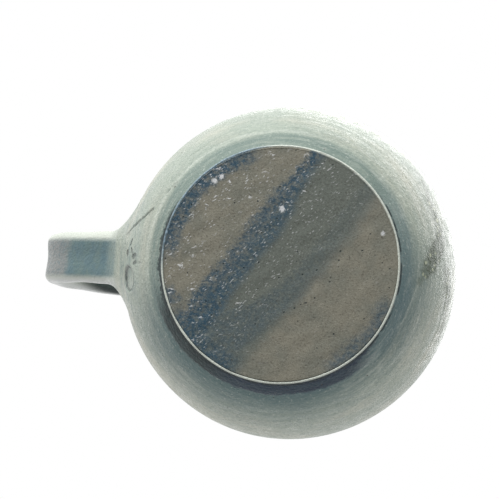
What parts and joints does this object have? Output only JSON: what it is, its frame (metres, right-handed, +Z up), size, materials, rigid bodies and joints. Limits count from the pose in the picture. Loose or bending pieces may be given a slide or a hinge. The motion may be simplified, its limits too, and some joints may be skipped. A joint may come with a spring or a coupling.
{
  "type": "ceramic pitcher",
  "caption": "Round-bellied salt-glazed stoneware pitcher with a flat unglazed base, a pinched pouring spout and a strap handle luted to the side.",
  "frame": {"origin": "centre of the flat base, on the surface the pitcher stands on", "axes": "+Z up out of the mouth, +X towards the spout, -X towards the handle, +Y across"},
  "size_m": [0.2194, 0.168, 0.2002],
  "materials": {
    "stoneware_clay": "bare grey-brown stoneware, wiped, fine sand and specks",
    "salt_glaze": "grey-green salt glaze with blue streaks, fine orange-peel texture",
    "liner_glaze": "smooth pale grey-green glaze"
  },
  "bodies": {
    "root": {"clay_body": "stoneware_clay", "outer_glaze_coat": "salt_glaze", "liner_glaze_coat": "liner_glaze", "upper_handle_joint": "salt_glaze", "strap_handle": "salt_glaze", "lower_handle_joint": "salt_glaze"}
  },
  "joints": []
}
